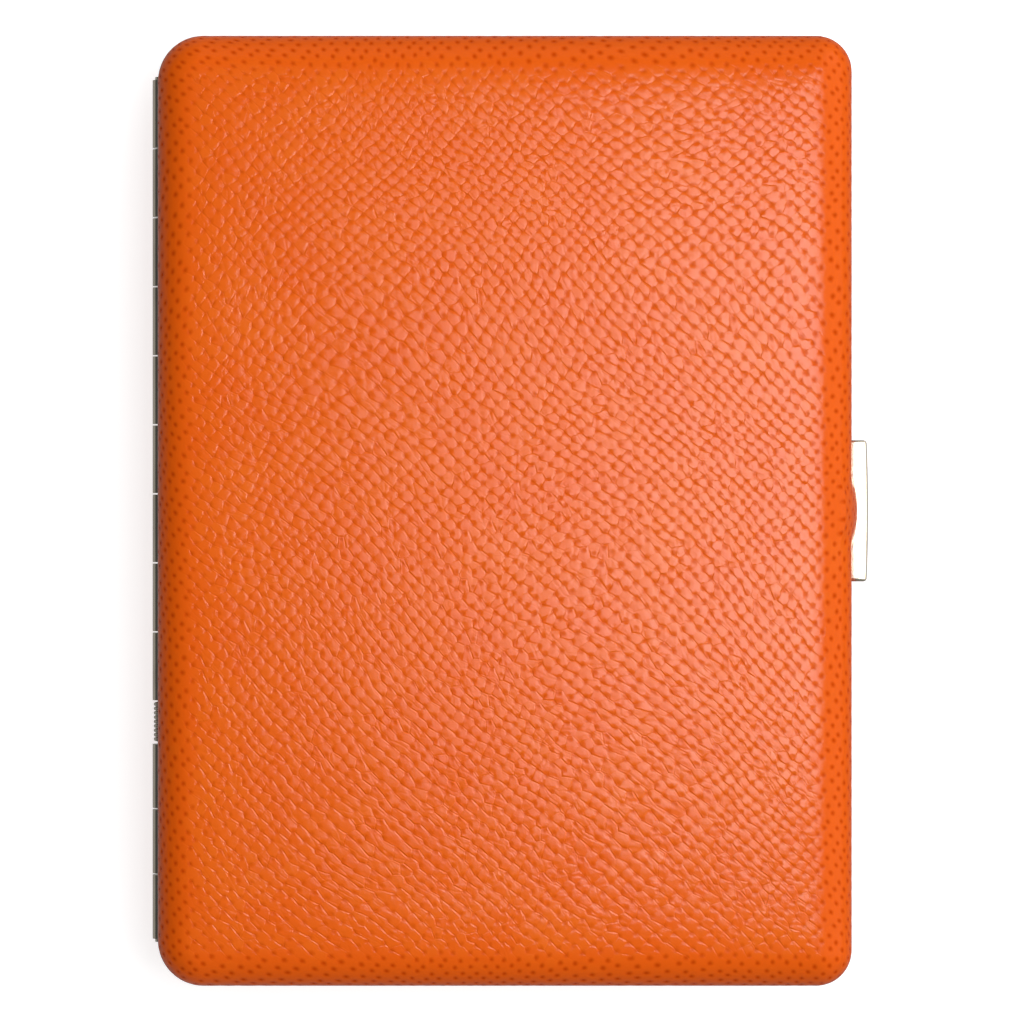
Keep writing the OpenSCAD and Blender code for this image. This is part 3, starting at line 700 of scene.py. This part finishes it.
def wrapped_skin(leather, face_inset, back_inset, wall_end, spacing, front):
    """A closed skin over one half: a fine face on one side, and a plain back made of a few rings.

    The point attribute hide_mm holds each point's place on the flat sheet, emboss is 1 where the
    grain has its full depth and 0 at the cut edge and on the back, and strain is 1 on the edges."""
    # The grain fades towards the cut edge, and the leather is stretched from a little before the rounding on
    edge_fade = 0.7 * MM
    stretch_lead, stretch_width = 1.2 * MM, 2.4 * MM
    face = Sheet(leather, face_inset, wall_end)
    back = Sheet(leather, back_inset, wall_end)
    length_x, length_y = face.high_x - face.low_x, 2 * face.half_y
    bm = bmesh.new()
    bmesh.ops.create_grid(
        bm, x_segments=round(length_x / spacing), y_segments=round(length_y / spacing), size=0.5
    )
    mark = bm.verts.layers.float_vector.new("hide_mm")
    weight = bm.verts.layers.float.new("emboss")
    strain = bm.verts.layers.float.new("strain")

    def settle(vert, sheet, anchor, distance, margin):
        point, way, _, corner = anchor
        out, depth = sheet.drop(distance, corner)
        depth += sheet.sink(sheet.reach - margin)
        x, y = point + way * out
        z = CASE_T - depth if front else depth
        if front and sheet.inset == 0:
            x = swollen_x(x, y, z, leather)
        vert.co = (x, y, z)
        vert[mark] = (*((point + way * distance) / MM), 0.0)
        vert[weight] = min(1.0, margin / edge_fade)
        stretched = min(1.0, max(0.0, (sheet.reach - margin + stretch_lead) / stretch_width))
        vert[strain] = stretched**2 * (3 - 2 * stretched)

    anchors = {}
    for vert in bm.verts:
        u = face.low_x + (vert.co.x + 0.5) * length_x
        v = vert.co.y * length_y
        anchors[vert] = face.anchor(u, v)
        margin = min(u - face.low_x, face.high_x - u, face.half_y - abs(v))
        settle(vert, face, anchors[vert], anchors[vert][2], margin)
    rim = [edge for edge in bm.edges if edge.is_boundary]
    rounds = 6
    for ring in range(rounds + 2):
        geometry = bmesh.ops.extrude_edge_only(bm, edges=rim)["geom"]
        fresh = {g for g in geometry if isinstance(g, bmesh.types.BMVert)}
        outer = {v: next(o for o in (e.other_vert(v) for e in v.link_edges) if o not in fresh) for v in fresh}
        for vert in fresh:
            anchors[vert] = anchors[outer[vert]]
            flat = anchors[vert][3] - back.edge
            gone = flat + back.arc * (1 - (ring - 1) / rounds) if ring else flat + back.reach
            settle(vert, back, anchors[vert], gone, 0.0)
        rim = [g for g in geometry if isinstance(g, bmesh.types.BMEdge) and g.is_boundary]
    bmesh.ops.contextual_create(bm, geom=rim)
    bmesh.ops.recalc_face_normals(bm, faces=bm.faces)
    return bm


def bake(piece):
    """Makes the result of a piece's modifiers its mesh."""
    bpy.context.view_layer.update()
    shaped = bpy.data.meshes.new_from_object(piece.evaluated_get(bpy.context.evaluated_depsgraph_get()))
    piece.modifiers.clear()
    old = piece.data
    piece.data = shaped
    bpy.data.meshes.remove(old)
    shaped.name = piece.name


def emboss(piece, leather):
    """Presses the pebble grain into a skin's face, with the pattern that its material has."""
    tree = bpy.data.node_groups.new("emboss_grain", "GeometryNodeTree")
    tree.interface.new_socket("Geometry", in_out="INPUT", socket_type="NodeSocketGeometry")
    tree.interface.new_socket("Geometry", in_out="OUTPUT", socket_type="NodeSocketGeometry")
    source = add(tree, "NodeGroupInput")
    at = add(tree, "GeometryNodeInputNamedAttribute", {"Name": "hide_mm"}, data_type="FLOAT_VECTOR")
    weight = add(tree, "GeometryNodeInputNamedAttribute", {"Name": "emboss"}, data_type="FLOAT")
    strain = add(tree, "GeometryNodeInputNamedAttribute", {"Name": "strain"}, data_type="FLOAT")
    height = cushion_height(tree, at.outputs[0], strain.outputs[0], leather)
    deep = add(tree, "ShaderNodeMath", {0: height, 1: weight.outputs[0]}, operation="MULTIPLY")
    push = add(
        tree, "ShaderNodeVectorMath",
        {0: add(tree, "GeometryNodeInputNormal").outputs[0], 3: deep.outputs[0]}, operation="SCALE",
    )
    pressed = add(
        tree, "GeometryNodeSetPosition", {"Geometry": source.outputs[0], "Offset": push.outputs[0]}
    )
    add(tree, "NodeGroupOutput", {0: pressed.outputs[0]})
    piece.modifiers.new("emboss", "NODES").node_group = tree
    bake(piece)
    bpy.data.node_groups.remove(tree)


class CASE_OT_leather_covers(bpy.types.Operator):
    """Wrap both halves of the case in embossed leather"""

    bl_idname = "case.leather_covers"
    bl_label = "Leather Covers"

    def execute(self, context):
        leather = context.scene.case_leather
        material = leather_material(leather)
        for half, body in (("front", "lid"), ("back", "base")):
            bm = wrapped_skin(leather, 0.0, leather.thickness, LEATHER_EDGE, leather.spacing, half == "front")
            piece = finish_piece(
                bm, f"{half}_leather_skin", material, body, [f"{half}_leather"]
            )
            emboss(piece, leather)
        return {"FINISHED"}


class CASE_OT_linings(bpy.types.Operator):
    """Line both halves of the case with cloth"""

    bl_idname = "case.linings"
    bl_label = "Linings"

    def execute(self, context):
        leather = context.scene.case_leather
        lining = context.scene.case_lining
        material = cloth_material(lining)
        back_inset = lining.inset - lining.thickness
        for half, body in (("front", "lid"), ("back", "base")):
            bm = wrapped_skin(leather, lining.inset, back_inset, LINING_EDGE, lining.spacing, half == "front")
            finish_piece(bm, f"{half}_lining_cloth", material, body, [f"{half}_lining"])
        return {"FINISHED"}


def block(low, high):
    """A box between two corners."""
    bm = bmesh.new()
    bmesh.ops.create_cube(bm, size=1.0)
    bmesh.ops.scale(bm, vec=high - low, verts=bm.verts)
    bmesh.ops.translate(bm, vec=(low + high) / 2, verts=bm.verts)
    return bm


def folded_block(low, high, corner, fold, bow):
    """A block whose outer upright corners and top are rounded as folds, with a bowed front."""
    bm = block(low, high)
    tiny = 0.001 * MM
    upright = [
        e for e in bm.edges
        if all(v.co.x > high.x - tiny for v in e.verts) and abs(e.verts[0].co.z - e.verts[1].co.z) > tiny
    ]
    bmesh.ops.bevel(bm, geom=upright, affect="EDGES", offset=corner, segments=6, profile=0.5, material=-1)
    over = [
        e for e in bm.edges
        if all(v.co.z > high.z - tiny for v in e.verts) and any(v.co.x > low.x + tiny for v in e.verts)
    ]
    bmesh.ops.bevel(bm, geom=over, affect="EDGES", offset=fold, segments=4, profile=0.5, material=-1)
    cuts = 24
    for step in range(1, cuts):
        y = low.y + (high.y - low.y) * step / cuts
        bmesh.ops.bisect_plane(
            bm, geom=bm.verts[:] + bm.edges[:] + bm.faces[:], plane_co=(0, y, 0), plane_no=(0, 1, 0)
        )
    for vert in bm.verts:
        part = (vert.co.x - low.x) / (high.x - low.x)
        vert.co.x += bow * (1 - (vert.co.y / high.y) ** 2) * part
    return bm


def carve(piece, volumes):
    """Cuts closed volumes out of a piece, one after another."""
    tools = []
    for bm in volumes:
        mesh = bpy.data.meshes.new("tool")
        bm.to_mesh(mesh)
        bm.free()
        tool = bpy.data.objects.new("tool", mesh)
        bpy.context.scene.collection.objects.link(tool)
        cut = piece.modifiers.new("cut", "BOOLEAN")
        cut.object = tool
        cut.solver = "FAST"
        tools.append(tool)
    bake(piece)
    for tool in tools:
        mesh = tool.data
        bpy.data.objects.remove(tool)
        bpy.data.meshes.remove(mesh)


def soften(piece, width, angle=40.0):
    """Breaks a piece's sharp edges as tumbling does, and shades the rest smooth."""
    edges = piece.modifiers.new("edges", "BEVEL")
    edges.width = width
    edges.segments = 2
    edges.limit_method = "ANGLE"
    edges.angle_limit = math.radians(angle)
    edges.use_clamp_overlap = True
    bake(piece)
    for face in piece.data.polygons:
        face.use_smooth = True
    piece.data.set_sharp_from_angle(angle=math.radians(angle))


class CASE_OT_latch_lever(bpy.types.Operator):
    """Fold the latch lever from sheet, with a bowed front and a hole for the pin in each end"""

    bl_idname = "case.latch_lever"
    bl_label = "Latch Lever"

    def execute(self, context):
        metal = context.scene.case_metal
        inner_fold, broken_edge = 0.05 * MM, 0.05 * MM
        hole_radius = 0.34 * MM
        cut_depth, cut_past_pin, near = 2 * MM, 0.4 * MM, 0.1 * MM
        low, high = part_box("latch_lever")
        pin_low, pin_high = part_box("latch_pin")
        pin = (pin_low + pin_high) / 2
        sheet, bow = metal.lever_sheet, metal.lever_bow
        front = high - Vector((bow, 0, 0))
        material = nickel_material(
            "polished_nickel_plate", metal.plate, roughness=0.09, scratch=0.06, grain_axis=(1.0, 0.08, 1.0)
        )
        piece = finish_piece(
            folded_block(low, front, metal.lever_corner, metal.lever_fold, bow),
            "latch_lever_sheet", material, "latch", ["latch_lever"],
        )
        # The sheet's inside, open towards the case and below
        inside = folded_block(
            low - Vector((sheet, -sheet, sheet)), front - Vector((sheet, sheet, sheet)),
            inner_fold, inner_fold, bow,
        )
        # Below the pin the ends are cut back, so that the lever can rock
        rock = block(
            Vector((low.x - 2 * sheet, low.y - sheet, low.z - cut_depth)),
            Vector((low.x, high.y + sheet, pin.z)),
        )
        foot = pin.x + cut_past_pin - low.x
        for vert in rock.verts:
            if vert.co.x > low.x - near:
                vert.co.x += foot * (pin.z - vert.co.z) / (pin.z - low.z)
        hole = bmesh.new()
        bmesh.ops.create_cone(
            hole, cap_ends=True, segments=32, radius1=hole_radius, radius2=hole_radius,
            depth=2 * high.y + 2 * sheet,
            matrix=Matrix.Translation(pin) @ Matrix.Rotation(math.pi / 2, 4, "X"),
        )
        carve(piece, (inside, rock, hole))
        soften(piece, broken_edge)
        return {"FINISHED"}


def coil_spring(node, body, material, turns, wire):
    """A close-wound spring in the place of a CAD coil that lies along Y."""
    low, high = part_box(node)
    centre = (low + high) / 2
    radius = (high.x - low.x) / 2 - wire / 2
    length = high.y - low.y - wire
    steps = 20
    bm = bmesh.new()
    start = Matrix.Translation((radius, -length / 2, 0))
    bmesh.ops.create_circle(bm, cap_ends=False, segments=10, radius=wire / 2, matrix=start)
    bmesh.ops.spin(
        bm, geom=bm.verts[:] + bm.edges[:], cent=(0, 0, 0), axis=(0, -1, 0),
        dvec=(0, length / (turns * steps), 0), angle=math.tau * turns, steps=round(turns * steps),
        use_merge=False, use_duplicate=False,
    )
    bmesh.ops.holes_fill(bm, edges=[e for e in bm.edges if e.is_boundary], sides=12)
    bmesh.ops.recalc_face_normals(bm, faces=bm.faces)
    bmesh.ops.translate(bm, vec=centre, verts=bm.verts)
    finish_piece(bm, f"{node}_coil", material, body, [node])


class CASE_OT_springs(bpy.types.Operator):
    """Wind the hinge spring, the latch spring and the arm springs"""

    bl_idname = "case.springs"
    bl_label = "Springs"

    def execute(self, context):
        metal = context.scene.case_metal
        material = nickel_material("drawn_spring_wire", metal.steel, roughness=0.22, scratch=0.1)
        springs = (
            ("hinge_spring", "base", metal.hinge_turns, metal.hinge_wire),
            ("latch_spring", "base", metal.latch_turns, metal.latch_wire),
            ("back_arm_spring", "base", metal.arm_turns, metal.arm_wire),
            ("front_arm_spring", "lid", metal.arm_turns, metal.arm_wire),
        )
        for node, body, turns, wire in springs:
            coil_spring(node, body, material, turns, wire)
        return {"FINISHED"}


class CASE_OT_plated_metal(bpy.types.Operator):
    """Give the rims, arms, brackets, pins, rivets and shells their metal finishes"""

    bl_idname = "case.plated_metal"
    bl_label = "Plated Metal"

    def execute(self, context):
        metal = context.scene.case_metal
        rim = nickel_material(
            "buffed_nickel_plate", metal.plate, roughness=0.14, scratch=0.1, grain_axis=(1.0, 0.1, 1.0)
        )
        arm = nickel_material(
            "satin_nickel_plate", metal.plate, roughness=0.2, scratch=0.12, grain_axis=(0.1, 1.0, 1.0)
        )
        small = nickel_material("tumbled_nickel_plate", metal.plate, roughness=0.18, scratch=0.1)
        shell = nickel_material("pressed_steel_sheet", metal.steel, roughness=0.45, scratch=0.1)
        finishes = {
            rim: ["back_frame", "front_frame"],
            arm: ["back_arm", "front_arm"],
            small: [
                "hinge_pin", "latch_bracket", "latch_bracket_rivets", "latch_pin", "catch_tab",
                "catch_rivets", "back_arm_bracket", "back_arm_rivets", "back_arm_pin",
                "front_arm_bracket", "front_arm_rivets", "front_arm_pin",
            ],
            shell: ["back_shell", "front_shell"],
        }
        for material, names in finishes.items():
            for name in names:
                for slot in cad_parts[name].material_slots:
                    slot.material = material
        return {"FINISHED"}


def paper_sweep(stage):
    """A wide sheet of white paper under the case."""
    half_width, gap, glow = 1.5, 0.02 * MM, 0.7
    bm = bmesh.new()
    bmesh.ops.create_grid(bm, x_segments=1, y_segments=1, size=half_width)
    mesh = bpy.data.meshes.new("floor")
    bm.to_mesh(mesh)
    bm.free()
    mesh.transform(Matrix.Translation((0, 0, -gap)))
    floor = bpy.data.objects.new("floor", mesh)
    bpy.context.scene.collection.objects.link(floor)
    material, _, shader = new_material("white_paper_sweep")
    shader.inputs["Base Color"].default_value = linear(stage.floor)
    shader.inputs["Roughness"].default_value = 0.9
    shader.inputs["Emission Color"].default_value = (1, 1, 1, 1)
    shader.inputs["Emission Strength"].default_value = glow
    mesh.materials.append(material)
    # The sweep is seen, but its light doesn't reach the case, as in a cut-out picture
    floor.visible_diffuse = False
    floor.visible_glossy = False


def studio_world():
    """A studio that is dark on the hinge's side and light on the latch's, and below it the other way."""
    hinge_side, latch_side = 0.07, 0.5
    hinge_side_below, latch_side_below = 0.42, 0.25
    horizon = 0.1
    world = bpy.data.worlds.new("studio")
    bpy.context.scene.world = world
    world.use_nodes = True
    tree = world.node_tree
    background = tree.nodes["Background"]
    background.inputs["Color"].default_value = (1, 1, 1, 1)
    where = add(tree, "ShaderNodeTexCoord")
    way = add(tree, "ShaderNodeSeparateXYZ", {0: where.outputs["Generated"]})
    below, above = [
        add(
            tree, "ShaderNodeMapRange",
            {"Value": way.outputs[0], "From Min": -1.0, "To Min": left, "To Max": right},
        )
        for left, right in ((hinge_side_below, latch_side_below), (hinge_side, latch_side))
    ]
    up = add(tree, "ShaderNodeMapRange", {"Value": way.outputs[2], "From Min": -horizon, "From Max": horizon})
    level = add(
        tree, "ShaderNodeMix", {0: up.outputs[0], 2: below.outputs[0], 3: above.outputs[0]}, data_type="FLOAT"
    )
    tree.links.new(level.outputs[0], background.inputs["Strength"])


def area_light(name, place, target, size, power):
    """A rectangular soft light at a place, facing a target."""
    data = bpy.data.lights.new(name, "AREA")
    data.shape = "RECTANGLE"
    data.size, data.size_y = size
    data.energy = power
    lamp = bpy.data.objects.new(name, data)
    lamp.location = place
    lamp.rotation_euler = (Vector(target) - Vector(place)).to_track_quat("-Z", "Y").to_euler()
    bpy.context.scene.collection.objects.link(lamp)


def studio_lights():
    """A window of soft light round the camera, brighter on its right, and two tall windows."""
    key_y, key_depth = 0.0165, 0.157
    wide_x, wide_height = 0.054, 0.43
    right_x, right_height = 0.1075, 0.429
    area_light(
        "key_wide", place=(wide_x, key_y, wide_height), target=(wide_x, key_y, 0.0),
        size=(0.172, key_depth), power=0.382,
    )
    area_light(
        "key_right", place=(right_x, key_y, right_height), target=(right_x, key_y, 0.0),
        size=(0.155, key_depth), power=0.46,
    )
    # The tall windows stand on the right and beyond the case, and face it
    middle = (0.0, 0.0, 0.01)
    area_light("side_window", place=(0.5, 0.15, 0.35), target=middle, size=(0.9, 0.7), power=1.25)
    area_light("far_window", place=(0.22, 0.47, 0.3), target=middle, size=(0.8, 0.5), power=0.6)


def case_camera(stage, widest):
    """The camera above the case, with the picture's width set at the height of its widest line."""
    data = bpy.data.cameras.new("camera")
    data.sensor_width = 36.0
    data.lens = data.sensor_width * stage.camera_height / stage.frame_width
    data.clip_start = 0.01
    camera = bpy.data.objects.new("camera", data)
    camera.location = (stage.aim[0], stage.aim[1], widest + stage.camera_height)
    bpy.context.scene.collection.objects.link(camera)
    bpy.context.scene.camera = camera


class CASE_OT_stage(bpy.types.Operator):
    """Set the floor, the studio lights and the camera"""

    bl_idname = "case.stage"
    bl_label = "Stage"

    def execute(self, context):
        scene = context.scene
        scene.view_settings.view_transform = "Standard"
        paper_sweep(scene.case_stage)
        studio_world()
        studio_lights()
        case_camera(scene.case_stage, CASE_T - scene.case_leather.edge)
        return {"FINISHED"}


class CASE_PT_panel(bpy.types.Panel):
    """Lists the steps that dress the case"""

    bl_idname = "CASE_PT_panel"
    bl_label = "Cigarette Case"
    bl_space_type = "VIEW_3D"
    bl_region_type = "UI"
    bl_category = "Case"

    def draw(self, context):
        for step in STEPS:
            self.layout.operator(step.bl_idname)
        for name in SETTINGS:
            group = getattr(context.scene, name)
            for field in group.bl_rna.properties.keys():
                if field not in {"rna_type", "name"}:
                    self.layout.prop(group, field)


STEPS = (
    CASE_OT_leather_covers,
    CASE_OT_linings,
    CASE_OT_latch_lever,
    CASE_OT_springs,
    CASE_OT_plated_metal,
    CASE_OT_stage,
)
SETTINGS = {
    "case_leather": CaseLeatherSettings,
    "case_lining": CaseLiningSettings,
    "case_metal": CaseMetalSettings,
    "case_stage": CaseStageSettings,
}


def register():
    for cls in (*SETTINGS.values(), *STEPS, CASE_PT_panel):
        bpy.utils.register_class(cls)
    for name, cls in SETTINGS.items():
        setattr(bpy.types.Scene, name, PointerProperty(type=cls))


def unregister():
    for name in SETTINGS:
        delattr(bpy.types.Scene, name)
    for cls in reversed((*SETTINGS.values(), *STEPS, CASE_PT_panel)):
        bpy.utils.unregister_class(cls)


def main():
    register()
    bpy.ops.case.leather_covers()
    bpy.ops.case.linings()
    bpy.ops.case.latch_lever()
    bpy.ops.case.springs()
    bpy.ops.case.plated_metal()
    bpy.ops.case.stage()


if __name__ == "__main__":
    main()
